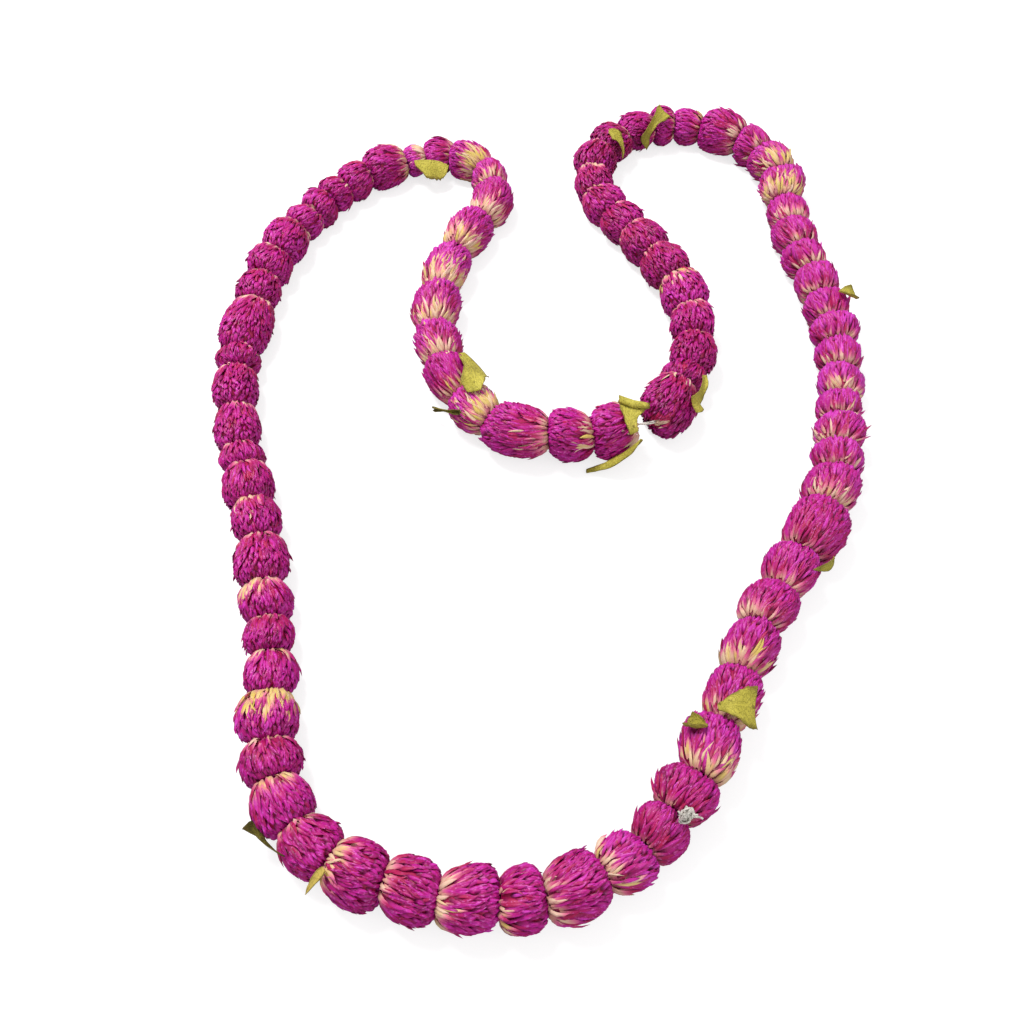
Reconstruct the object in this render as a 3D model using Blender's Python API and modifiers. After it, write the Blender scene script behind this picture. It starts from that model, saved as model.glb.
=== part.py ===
"""Globe amaranth garland: dried flower heads strung on one thread and laid down as a closed loop.

Every piece is first shaped on a straight string, where x points to the inside of the loop, y up and z along the
string. It is then bent onto the route, so pieces that clear each other on the straight string do so on the loop.
"""

import math
import random

import bmesh
import bpy
import numpy as np
from mathutils import Vector

MM = 0.001

# The loop's route in millimetres, from the middle of the open gap, seen from above
ROUTE_MM = (
    (37, -3), (15, -8), (-8, -7), (-30, 12), (-39, 42), (-37, 72), (-25, 101), (-18, 123),
    (-35, 144), (-65, 137), (-86, 119), (-100, 96), (-108, 74), (-112, 43), (-112, 13), (-105, -18),
    (-96, -45), (-89, -75), (-84, -101), (-80, -128), (-65, -151), (-37, -162), (-7, -164), (20, -155),
    (40, -135), (56, -107), (71, -77), (90, -49), (103, -21), (109, 6), (113, 34), (111, 62),
    (106, 90), (105, 119), (98, 147), (70, 164), (43, 160), (26, 139), (28, 114), (44, 88),
    (57, 60), (59, 34), (50, 11),
)
ROUTE_SAMPLES = 4300

# Where the middle of the finished garland's box lies on that plan, so that it can be moved to the origin
MIDDLE_MM = (0.331, -0.031)

# Each head's width and length in millimetres, in the order of the thread
HEADS_MM = (
    (19.5, 15.5), (20, 15.5), (20, 22), (18, 16.5), (17, 17), (18, 17.5), (18.5, 20.5), (17.5, 21.5),
    (18.5, 22.5), (17.5, 21), (16, 12.5), (17, 16.5), (16, 12), (14, 9), (18.5, 18), (16.5, 12.5),
    (16, 10.5), (17, 10.5), (16, 10), (19, 17), (18, 13), (17.5, 14.5), (19.5, 24), (17, 9),
    (17.5, 18.5), (17, 18.5), (16.5, 9.5), (18.5, 15), (17.5, 14.5), (18.5, 17.5), (17.5, 13), (16.5, 11.5),
    (16.5, 14), (19, 15), (19, 12), (18, 14.5), (17.5, 15), (19, 16), (18.5, 15.5), (18.5, 16.5),
    (18.5, 12.5), (18.5, 17), (17, 14), (17, 12.5), (19, 13.5), (18, 18.5), (17, 18), (17.5, 16.5),
    (19.5, 16.5), (17.5, 15), (21, 21.5), (19.5, 15.5), (18.5, 11.5), (18.5, 12.5), (17, 10.5), (17, 13.5),
    (17.5, 12.5), (18.5, 12), (17.5, 13), (18, 13.5), (17.5, 13), (18.5, 14), (17, 14.5), (19.5, 17),
    (18.5, 15.5), (18, 12), (20, 18.5), (16, 12.5), (18, 10), (17, 14.5), (18, 15), (18.5, 15),
    (17, 14), (18, 13.5), (18, 13), (19, 15.5), (19, 16), (19, 16.5), (18, 15), (18.5, 16.5),
    (18, 9), (21, 19.5),
)
HEADS_PER_NODE = 2
OPEN_GAP = 7.0 * MM
HEAD_GAP = 0.55 * MM
KNOT_GAP = 2.2 * MM
CUP_DEPTH = 2.4 * MM
SINK = 1.4 * MM
HEIGHT_SMOOTHING = 12 * MM

# A head's rings from base to tip: share of its length, and share of its radius before the bracts rise
HEAD_RINGS = ((0.0, 0.74), (0.22, 0.87), (0.46, 0.90), (0.72, 0.84), (0.94, 0.66))
GROOVE_SHARE = 0.62
COLUMNS = 8
BRACT_LIFT = 1.22
BRACT_LEAN = 0.26
RING_WANDER = 0.03
SEED = 14

THREAD_RADIUS = 0.5 * MM
TUNNEL_RADIUS = 1.05 * MM

# The knot lies on the joint after this head, in millimetres to the inside and up
KNOT_AFTER_HEAD = 44
KNOT_MM = (-3.6, 9.0)
KNOT_SIZE = (1.7 * MM, 1.5 * MM, 1.3 * MM)
TAILS_MM = (
    ((-5.4, 10.8), 1.4),
    ((-1.9, 11.2), -1.2),
    ((-6.7, 8.7), 1.8),
)

# Each leaf: the head from whose base its places are counted, then its root, middle and tip as millimetres along the
# string, degrees round it from the inside of the loop upwards and millimetres out from it, then its width and outline.
# Its edges rise by the share LEAF_CURL of their distance from its middle line.
LEAVES = (
    (1, ((0.5, 62, 9.6), (1.8, 105, 10.0), (3.2, 142, 10.6)), 11.0, "fan"),
    (1, ((1.8, 33, 10.5), (9.5, -22, 11.1), (19.5, -29, 12.4)), 4.0, "strap"),
    (5, ((-8.4, 33, 9.2), (-3.5, 16, 9.5), (1.0, -1, 10.1)), 3.4, "strap"),
    (5, ((14.0, 124, 8.7), (4.0, 140, 10.2), (-7.5, 100, 9.9)), 11.0, "broad"),
    (13, ((18.9, 38, 7.5), (8.5, 18, 8.5), (-0.5, 14, 9.1)), 9.5, "broad"),
    (36, ((20.0, 146, 9.2), (13.0, 158, 9.4), (6.0, 168, 9.8)), 6.5, "fan"),
    (38, ((1.1, 114, 8.7), (-0.3, 140, 8.5), (-3.0, 190, 9.2)), 2.6, "leaf"),
    (47, ((-2.6, 60, 9.1), (-4.2, 44, 9.2), (-5.8, 27, 9.3)), 6.5, "broad"),
    (47, ((1.3, 73, 8.7), (4.5, 100, 8.8), (5.9, 128, 9.1)), 14.6, "fan"),
    (51, ((0.8, 146, 9.7), (-2.6, 150, 9.2), (-7.5, 134, 8.8)), 4.0, "leaf"),
    (59, ((7.5, 100, 9.3), (8.5, 129, 9.8), (9.5, 158, 10.6)), 5.5, "leaf"),
    (70, ((-3.0, 69, 9.5), (5.0, 36, 9.4), (11.5, -2, 9.6)), 5.0, "strap"),
    (71, ((14.5, 82, 9.8), (13.0, 46, 9.7), (20.5, 14, 9.8)), 4.5, "leaf"),
    (82, ((0.0, 58, 10.4), (6.0, 40, 11.0), (13.2, 36, 11.2)), 7.0, "fan"),
)
LEAF_THICKNESS = 0.7 * MM
LEAF_CURL = 0.18

# How wide a leaf is from root to tip, as shares of its full width
LEAF_OUTLINES = {
    "leaf": (0.22, 0.72, 1.00, 0.88, 0.55, 0.10),
    "broad": (0.20, 0.52, 0.85, 1.00, 0.86, 0.60),
    "strap": (0.50, 0.90, 1.00, 0.95, 1.00, 0.80),
    "fan": (0.18, 0.36, 0.56, 0.78, 1.00, 0.90),
}

# Base colours and roughness
PURPLE_BRACTS = (0.45, 0.02, 0.26)
WHITE_THREAD = (0.85, 0.83, 0.78)
DRIED_LEAF = (0.42, 0.36, 0.12)
PAPERY = 0.65
COTTON = 0.8

WELD = 1e-6
COLLECTION = "Globe amaranth garland"


def closed_curve(points, samples):
    """The smooth closed curve through the points, a cubic spline, sampled at even steps of its parameter."""
    count = len(points)
    weights = np.eye(count) * 4 + np.roll(np.eye(count), 1, axis=0) + np.roll(np.eye(count), -1, axis=0)
    knots = np.linalg.solve(weights / 6, np.array(points, float))
    place = np.linspace(0, count, samples, endpoint=False)
    index = place.astype(int)
    t = (place - index)[:, None]
    before, here, after, beyond = (knots[(index + shift) % count] for shift in (-1, 0, 1, 2))
    return (
        (1 - t) ** 3 * before
        + (3 * t**3 - 6 * t**2 + 4) * here
        + (-3 * t**3 + 3 * t**2 + 3 * t + 1) * after
        + t**3 * beyond
    ) / 6


class Loop:
    """The laid-down string: where each head begins and ends along it, and how a straight piece bends onto it."""

    def __init__(self):
        self.points = (closed_curve(ROUTE_MM, ROUTE_SAMPLES) - MIDDLE_MM) * MM
        steps = np.roll(self.points, -1, axis=0) - self.points
        self.along = np.concatenate([[0], np.cumsum(np.linalg.norm(steps, axis=1))])
        self.length = self.along[-1]
        turns = np.roll(self.points, -1, axis=0) - np.roll(self.points, 1, axis=0)
        self.tangents = turns / np.linalg.norm(turns, axis=1)[:, None]
        widths, lengths = np.array(HEADS_MM).T * MM
        self.radii = widths / 2
        lengths *= (self.length - OPEN_GAP) / lengths.sum()
        self.joints = OPEN_GAP / 2 + np.concatenate([[0], np.cumsum(lengths)])
        middles = (self.joints[:-1] + self.joints[1:]) / 2
        heights = np.interp(self.along[:-1], middles, self.radii - SINK, period=self.length)
        window = int(HEIGHT_SMOOTHING / self.length * ROUTE_SAMPLES)
        wrapped = np.concatenate([heights[-window:], heights, heights[:window]])
        self.heights = np.convolve(wrapped, np.ones(window) / window, "same")[window:-window]

    def read(self, values, along):
        """One of the loop's sampled rows at a distance along the string."""
        return np.interp(along % self.length, self.along, np.append(values, values[0]))

    def bend(self, place):
        """Where a point of the straight string lies on the loop, never below the table."""
        inward, up, along = place
        centre = [self.read(self.points[:, axis], along) for axis in (0, 1)]
        forward = Vector([self.read(self.tangents[:, axis], along) for axis in (0, 1)]).normalized()
        height = self.read(self.heights, along) + up
        return Vector((centre[0] - inward * forward.y, centre[1] + inward * forward.x, max(height, 0)))


def bend_mesh(mesh, loop):
    """Bends a closed straight piece onto the loop, with its faces pointing out."""
    for vert in mesh.verts:
        vert.co = loop.bend(vert.co)
    if mesh.calc_volume(signed=True) < 0:
        bmesh.ops.reverse_faces(mesh, faces=mesh.faces)


def new_object(name, mesh, material):
    """A bmesh made into a named object of the garland."""
    data = bpy.data.meshes.new(name)
    mesh.to_mesh(data)
    mesh.free()
    data.materials.append(material)
    made = bpy.data.objects.new(name, data)
    bpy.data.collections[COLLECTION].objects.link(made)
    return made


def principled(name, colour, roughness):
    material = bpy.data.materials.new(name)
    material.use_nodes = True
    shader = material.node_tree.nodes["Principled BSDF"]
    shader.inputs["Base Color"].default_value = (*colour, 1)
    shader.inputs["Roughness"].default_value = roughness
    shader.inputs["Metallic"].default_value = 0
    material.diffuse_color = (*colour, 1)
    return material


def joint_gap(joint):
    """The gap at the joint before this head: wider where the knot's strand comes out."""
    return KNOT_GAP if joint == KNOT_AFTER_HEAD else HEAD_GAP


def cup_depth(joint):
    return 0 if joint == KNOT_AFTER_HEAD else CUP_DEPTH


def head_rings(loop, first, last, draw):
    """The rings of the heads first to last as one skin, ending with its thread tunnel, and the rows of bracts.

    A ring is its distance along the string, its radius and its turn. Every other ring turns by half a column.
    """
    rings = []
    bract_rows = []
    half_column = math.pi / COLUMNS
    for head in range(first, last):
        start = loop.joints[head] + joint_gap(head) / 2
        end = loop.joints[head + 1] - joint_gap(head + 1) / 2
        phase = draw.uniform(0, 2 * half_column)
        for order, (share, width) in enumerate(HEAD_RINGS):
            if order:
                bract_rows.append(len(rings) - 1)
            radius = loop.radii[head] * width * (1 + draw.uniform(-RING_WANDER, RING_WANDER))
            rings.append((start + share * (end - start), radius, phase + order % 2 * half_column))
        if head < last - 1:
            narrower = min(loop.radii[head], loop.radii[head + 1])
            rings.append((loop.joints[head + 1], narrower * GROOVE_SHARE, phase))
    rings.append((end + cup_depth(last), TUNNEL_RADIUS, 0))
    for head in range(last - 1, first, -1):
        rings.append((loop.joints[head], TUNNEL_RADIUS, 0))
    rings.append((loop.joints[first] + joint_gap(first) / 2 + cup_depth(first), TUNNEL_RADIUS, 0))
    return rings, bract_rows


def flower_heads(loop, first, last, material, draw):
    """Heads first to last, pressed together on the thread, with raised bracts in staggered rows."""
    rings, bract_rows = head_rings(loop, first, last, draw)
    mesh = bmesh.new()
    bmesh.ops.create_grid(mesh, x_segments=COLUMNS, y_segments=len(rings), size=1)
    mesh.verts.ensure_lookup_table()
    for index, vert in enumerate(mesh.verts):
        row, column = divmod(index, COLUMNS + 1)
        along, radius, turn = rings[row % len(rings)]
        angle = turn + 2 * math.pi * column / COLUMNS
        vert.co = (radius * math.cos(angle), radius * math.sin(angle), along)
    bracts = [face for index, face in enumerate(mesh.faces) if index // COLUMNS in bract_rows]
    for tip in bmesh.ops.poke(mesh, faces=bracts)["verts"]:
        corners = [edge.other_vert(tip).co.z for edge in tip.link_edges]
        lean = BRACT_LEAN * (max(corners) - min(corners))
        tip.co = (tip.co.x * BRACT_LIFT, tip.co.y * BRACT_LIFT, tip.co.z + lean)
    bmesh.ops.remove_doubles(mesh, verts=mesh.verts, dist=WELD)
    bend_mesh(mesh, loop)
    return new_object(f"heads_{first + 1:02}_{last:02}", mesh, material)


def tube(name, points, radius, closed, material):
    """A round cord through the points, as a curve made into a mesh with welded caps."""
    curve = bpy.data.curves.new(name, "CURVE")
    curve.dimensions = "3D"
    curve.bevel_depth = radius
    curve.bevel_resolution = 1
    curve.use_fill_caps = not closed
    spline = curve.splines.new("POLY")
    spline.points.add(len(points) - 1)
    for point, place in zip(spline.points, points):
        point.co = (*place, 1)
    spline.use_cyclic_u = closed
    guide = bpy.data.objects.new(name + "_curve", curve)
    bpy.data.collections[COLLECTION].objects.link(guide)
    graph = bpy.context.evaluated_depsgraph_get()
    data = bpy.data.meshes.new_from_object(guide.evaluated_get(graph))
    bpy.data.objects.remove(guide)
    mesh = bmesh.new()
    mesh.from_mesh(data)
    bpy.data.meshes.remove(data)
    bmesh.ops.remove_doubles(mesh, verts=mesh.verts, dist=WELD)
    bmesh.ops.recalc_face_normals(mesh, faces=mesh.faces)
    return new_object(name, mesh, material)


def thread_points(loop):
    """One point for each joint of the string, at the ends of the heads' tunnels, and the open gap's own."""
    along = [loop.joints[0] + CUP_DEPTH]
    for joint in range(1, len(loop.radii)):
        inside = joint % HEADS_PER_NODE != 0
        along.append(loop.joints[joint] + (0 if inside else cup_depth(joint)))
    along.append(loop.joints[-1] + CUP_DEPTH)
    along.append(loop.length)
    return [loop.bend((0, 0, place)) for place in along]


def thread(loop, material):
    """The thread round the whole loop, with its knot and short ends brought out between two heads."""
    cord = tube("thread", thread_points(loop), THREAD_RADIUS, True, material)
    joint = loop.joints[KNOT_AFTER_HEAD]
    knot_place = (KNOT_MM[0] * MM, KNOT_MM[1] * MM, joint)
    pieces = [tube("strand", [loop.bend((0, 0, joint)), loop.bend(knot_place)], THREAD_RADIUS, False, material)]
    lump = bmesh.new()
    bmesh.ops.create_icosphere(lump, subdivisions=1, radius=1)
    bmesh.ops.scale(lump, vec=KNOT_SIZE, verts=lump.verts)
    bmesh.ops.translate(lump, vec=knot_place, verts=lump.verts)
    bend_mesh(lump, loop)
    pieces.append(new_object("knot", lump, material))
    for number, ((inward, up), ahead) in enumerate(TAILS_MM):
        end = (inward * MM, up * MM, joint + ahead * MM)
        pieces.append(tube(f"tail_{number}", [loop.bend(knot_place), loop.bend(end)], THREAD_RADIUS, False, material))
    join(cord, pieces)


def join(whole, pieces):
    """Fuses the pieces into the whole with one Boolean union, and removes them."""
    cutters = bpy.data.collections.new("Thread ends")
    bpy.context.scene.collection.children.link(cutters)
    for piece in pieces:
        bpy.data.collections[COLLECTION].objects.unlink(piece)
        cutters.objects.link(piece)
    union = whole.modifiers.new("Union", "BOOLEAN")
    union.operation = "UNION"
    union.operand_type = "COLLECTION"
    union.collection = cutters
    graph = bpy.context.evaluated_depsgraph_get()
    fused = bpy.data.meshes.new_from_object(whole.evaluated_get(graph))
    whole.modifiers.clear()
    whole.data = fused
    for piece in pieces:
        bpy.data.objects.remove(piece)
    bpy.data.collections.remove(cutters)


def leaf(loop, number, head, spine, width, outline, material):
    """A thin dried leaf that lies curved over the heads, with its two edges curled away from them.

    Its middle line is the curve from root to tip that passes the middle halfway.
    """
    root, middle, tip = (Vector((ahead * MM, math.radians(turn), out * MM)) for ahead, turn, out in spine)
    pull = 2 * middle - (root + tip) / 2
    base = loop.joints[head - 1]
    rows = len(LEAF_OUTLINES[outline]) - 1
    mesh = bmesh.new()
    bmesh.ops.create_grid(mesh, x_segments=2, y_segments=rows, size=1)
    for vert in mesh.verts:
        side = vert.co.x
        share = (vert.co.y + 1) / 2
        ahead, turn, out = (1 - share) ** 2 * root + 2 * share * (1 - share) * pull + share**2 * tip
        slope = (1 - share) * (pull - root) + share * (tip - pull)
        course = Vector((slope.x, slope.y * out)).normalized()
        reach = side * width * MM / 2 * LEAF_OUTLINES[outline][round(share * rows)]
        ahead -= reach * course.y
        turn += reach * course.x / out
        out += LEAF_CURL * abs(reach)
        vert.co = loop.bend((out * math.cos(turn), out * math.sin(turn), base + ahead))
    bmesh.ops.triangulate(mesh, faces=mesh.faces)
    made = new_object(f"leaf_{number:02}", mesh, material)
    blade = made.modifiers.new("Blade", "SOLIDIFY")
    blade.thickness = LEAF_THICKNESS
    blade.offset = 0


def main():
    for left_over in list(bpy.data.objects):
        bpy.data.objects.remove(left_over)
    bpy.context.scene.collection.children.link(bpy.data.collections.new(COLLECTION))
    draw = random.Random(SEED)
    loop = Loop()
    purple = principled("Purple bracts", PURPLE_BRACTS, PAPERY)
    cotton = principled("White thread", WHITE_THREAD, COTTON)
    olive = principled("Dried leaf", DRIED_LEAF, PAPERY)
    for first in range(0, len(HEADS_MM), HEADS_PER_NODE):
        flower_heads(loop, first, first + HEADS_PER_NODE, purple, draw)
    thread(loop, cotton)
    for number, (head, spine, width, outline) in enumerate(LEAVES, 1):
        leaf(loop, number, head, spine, width, outline, olive)


main()
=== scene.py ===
"""The looks of a dried globe amaranth garland: its flower heads' bracts, its dried leaves, thread and knot.

Each shape is first worked out on a straight string, where x points to the inside of the loop, y up and z
along the string. It is then bent onto the loop's route, as the solids of the frame were.
"""

import math

import bmesh
import bpy
import numpy as np
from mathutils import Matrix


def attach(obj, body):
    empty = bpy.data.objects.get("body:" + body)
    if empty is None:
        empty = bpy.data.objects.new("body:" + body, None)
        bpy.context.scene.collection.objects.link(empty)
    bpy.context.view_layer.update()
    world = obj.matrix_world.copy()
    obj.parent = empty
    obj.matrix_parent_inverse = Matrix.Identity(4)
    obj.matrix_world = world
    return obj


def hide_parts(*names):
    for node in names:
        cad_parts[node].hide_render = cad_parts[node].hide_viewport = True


bl_info = {
    "name": "Globe Amaranth Garland",
    "version": (1, 0, 0),
    "blender": (4, 5, 0),
    "location": "3D View > Sidebar > Garland",
    "description": "Dresses the strung flower heads with bracts, leaves and thread, on a studio stage",
    "category": "Object",
}

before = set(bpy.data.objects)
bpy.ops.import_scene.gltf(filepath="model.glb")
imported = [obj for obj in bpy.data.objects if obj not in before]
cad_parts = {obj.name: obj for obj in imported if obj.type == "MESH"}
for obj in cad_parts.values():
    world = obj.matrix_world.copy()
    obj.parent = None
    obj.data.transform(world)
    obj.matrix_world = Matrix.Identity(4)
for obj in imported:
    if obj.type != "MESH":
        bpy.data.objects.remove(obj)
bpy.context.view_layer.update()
MM = 0.001
GOLDEN_ANGLE = math.pi * (3 - math.sqrt(5))
SEED = 14
WELD = 1e-7

# The loop's route in millimetres, from the middle of the open gap, seen from above
ROUTE_MM = (
    (37, -3), (15, -8), (-8, -7), (-30, 12), (-39, 42), (-37, 72), (-25, 101), (-18, 123),
    (-35, 144), (-65, 137), (-86, 119), (-100, 96), (-108, 74), (-112, 43), (-112, 13), (-105, -18),
    (-96, -45), (-89, -75), (-84, -101), (-80, -128), (-65, -151), (-37, -162), (-7, -164), (20, -155),
    (40, -135), (56, -107), (71, -77), (90, -49), (103, -21), (109, 6), (113, 34), (111, 62),
    (106, 90), (105, 119), (98, 147), (70, 164), (43, 160), (26, 139), (28, 114), (44, 88),
    (57, 60), (59, 34), (50, 11),
)
ROUTE_SAMPLES = 4300

# Where the middle of the finished garland's box lies on that plan, so that it can be moved to the origin
MIDDLE_MM = (0.331, -0.031)

# Each head's width and length in millimetres, in the order of the thread
HEADS_MM = (
    (19.5, 15.5), (20, 15.5), (20, 22), (18, 16.5), (17, 17), (18, 17.5), (18.5, 20.5), (17.5, 21.5),
    (18.5, 22.5), (17.5, 21), (16, 12.5), (17, 16.5), (16, 12), (14, 9), (18.5, 18), (16.5, 12.5),
    (16, 10.5), (17, 10.5), (16, 10), (19, 17), (18, 13), (17.5, 14.5), (19.5, 24), (17, 9),
    (17.5, 18.5), (17, 18.5), (16.5, 9.5), (18.5, 15), (17.5, 14.5), (18.5, 17.5), (17.5, 13), (16.5, 11.5),
    (16.5, 14), (19, 15), (19, 12), (18, 14.5), (17.5, 15), (19, 16), (18.5, 15.5), (18.5, 16.5),
    (18.5, 12.5), (18.5, 17), (17, 14), (17, 12.5), (19, 13.5), (18, 18.5), (17, 18), (17.5, 16.5),
    (19.5, 16.5), (17.5, 15), (21, 21.5), (19.5, 15.5), (18.5, 11.5), (18.5, 12.5), (17, 10.5), (17, 13.5),
    (17.5, 12.5), (18.5, 12), (17.5, 13), (18, 13.5), (17.5, 13), (18.5, 14), (17, 14.5), (19.5, 17),
    (18.5, 15.5), (18, 12), (20, 18.5), (16, 12.5), (18, 10), (17, 14.5), (18, 15), (18.5, 15),
    (17, 14), (18, 13.5), (18, 13), (19, 15.5), (19, 16), (19, 16.5), (18, 15), (18.5, 16.5),
    (18, 9), (21, 19.5),
)
HEADS_PER_PIECE = 2
OPEN_GAP = 7.0 * MM
SINK = 1.4 * MM
HEIGHT_SMOOTHING = 12 * MM
PRESSED = 1.0 * MM

# How each head looks, as four digits: its tone from wine to pink, how far its pale base reaches, how yellow
# that base is, and how loose its bracts are
HEAD_LOOKS = (
    "4722 4332 4232 5953 4342 5545 5545 6754", "5553 4432 6642 5862 4322 8831 3452 3221",
    "3322 3322 4322 4221 3221 3211 3211 3312", "3211 3211 3321 3221 3443 3211 4641 3211",
    "4331 4871 3321 4452 3211 3452 3201 4431", "4432 4311 5534 3111 3112 5654 4443 5553",
    "4321 5323 4011 5425 6325 6326 7427 8447", "7336 7236 6225 6324 5325 5222 5423 6754",
    "6855 5433 4211 5442 4322 3222 2221 2312", "2321 3321 3221 2212 2211 5551 3321 2211",
    "2322 2112",
)

# The skin of a head, from its own base cup to its tip in the next one's: shares of its length and radius
HEAD_OUTLINE = (
    (0.08, 0.16), (0.02, 0.34), (0.00, 0.50), (0.05, 0.66), (0.15, 0.81), (0.30, 0.92), (0.48, 0.985),
    (0.66, 1.00), (0.82, 0.955), (0.93, 0.85), (1.00, 0.70), (1.04, 0.48), (1.07, 0.08),
)
SKIN_SAMPLES = 80
SKIN_SMOOTHING = 7

# How a head strays from round: swells with one to four lobes and a lean of its middle line, as spreads
HEAD_SWELLS = (0.022, 0.036, 0.028, 0.020)
HEAD_LEAN = 0.07

# The pale base of a head: the share of its skin that it reaches at least, how much further the palest
# head's goes, how uneven it is round the head, and how far its longest side can be from the top
PALE_FROM = 0.15
PALE_FURTHER = 0.21
PALE_UNEVEN = 0.7
PALE_SIDE_SPREAD = 1.0

# The inside of a head: its depth under the skin, its least radius, and the marks that its colour reads
CORE_DEPTH = 1.0 * MM
CORE_HOLE = 0.3 * MM
CORE_ROWS = 12
CORE_COLUMNS = 14
CORE_BLADE = (0.4, 0, 0)
CORE_FADE = 4
CORE_PALEST = 0.6
CORE_YELLOW = 0.3

# A bract from root to tip, at even steps: its width and keel as shares of the full ones
BRACT_WIDTHS = (0.60, 0.95, 1.00, 0.72, 0.0)
BRACT_KEELS = (0.50, 0.90, 1.00, 0.85, 0.0)
FIRST_BRACT = 0.07
LAST_BRACT = 0.97
BRACT_ROOM = 0.5 * MM
MIDDLE_OF_BRACT = 0.65

# How bracts change from a head's base to its tip: the shares of the skin where they start and stop getting
# smaller, and getting deeper roots, and how deep the roots at the base are
SHRINKING = (0.12, 0.70)
DEEPENING = (0.12, 0.40)
SHALLOWEST = 0.35
ROOT_CURVE = 1.6

# How much bracts differ from each other: spreads, or the lowest and highest share of the usual value
ROOT_SPREAD = 0.5 * MM
TURN_SPREAD = 0.09
LENGTH_RANGE = (0.8, 1.2)
WIDTH_RANGE = (0.75, 1.25)
KEEL_RANGE = (0.7, 1.3)
LIFT_RANGE = (-1.0, 2.5)
FRAYED_LIFT_MM = (0.3, 1.1)
BEND_SPREAD = 0.16

# What also grows with a head's looseness or pale base: the least, and how much more at the most
FRAYED = (0.02, 0.12)
SKEW_SPREAD = (0.12, 0.10)
GATHERED = (0.10, 0.10)
PALE_SPREAD = (0.03, 0.10)

# Waves in which neighbouring bracts lean together: how many go round a head, and how each twists along it
GATHERS = ((5, 3), (9, -7), (2, 0))

# How the bracts' colours differ: how softly the pale base ends, the spreads of the tones and tints, and how
# the red fades towards a head's tip
PALE_SOFTNESS = 0.20
TONE_SPREAD = 0.16
TINT_SPREAD = 0.22
REDNESS = 1.1
RED_UNTIL = 0.85
REDDEST = 0.9

# Single pale or reddened bracts and patches: the head, the share of its length, degrees round it from the
# inside of the loop upwards, millimetres that it reaches, and its tint
SPOTS = (
    (1, 0.14, 48, 3.2, "cream"), (1, 0.14, 12, 3.2, "cream"), (1, 0.24, 50, 1.6, "cream"),
    (1, 0.18, -12, 2.2, "cream"), (54, 0.16, 65, 2.4, "cream"), (54, 0.41, -12, 2.0, "cream"),
    (54, 0.94, 117, 1.2, "cream"), (54, 0.87, 75, 0.8, "cream"),
    (2, 0.16, 52, 2.4, "cream"), (2, 0.17, 52, 0.9, "red"), (2, 0.12, 94, 0.9, "cream"),
    (2, 0.42, 40, 0.7, "cream"), (2, 0.31, 21, 1.6, "cream"), (3, 0.48, 55, 0.7, "cream"),
    (3, 0.39, 13, 0.6, "cream"), (5, 0.88, 117, 0.9, "cream"), (6, 0.14, 76, 1.3, "cream"),
    (6, 0.29, 107, 0.9, "cream"), (6, 0.83, 60, 0.8, "cream"), (7, 0.12, 74, 1.2, "cream"),
    (7, 0.94, 60, 0.9, "cream"), (7, 0.77, 92, 0.8, "cream"), (7, 0.96, 118, 0.9, "cream"),
    (14, 0.34, 86, 2.2, "cream"), (29, 0.26, 72, 0.8, "cream"), (29, 0.76, 96, 0.6, "cream"),
    (28, 0.60, 80, 2.0, "red"), (38, 0.24, 92, 1.8, "red"), (39, 0.14, 65, 1.6, "red"),
    (42, 0.12, 90, 2.0, "red"), (42, 0.10, 114, 1.0, "cream"), (43, 0.12, 97, 1.6, "cream"),
    (46, 0.17, 84, 1.5, "cream"), (48, 0.40, 95, 0.9, "cream"), (67, 0.14, 46, 1.6, "cream"),
    (68, 0.18, 40, 2.0, "red"), (81, 0.70, 90, 2.0, "red"), (82, 0.12, 75, 1.0, "cream"),
    (82, 0.20, 100, 1.0, "cream"), (82, 0.35, 65, 0.8, "cream"), (82, 0.44, 111, 0.8, "cream"),
    (82, 1.02, 42, 3.0, "red"), (82, 1.03, 30, 1.0, "cream"),
)

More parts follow.
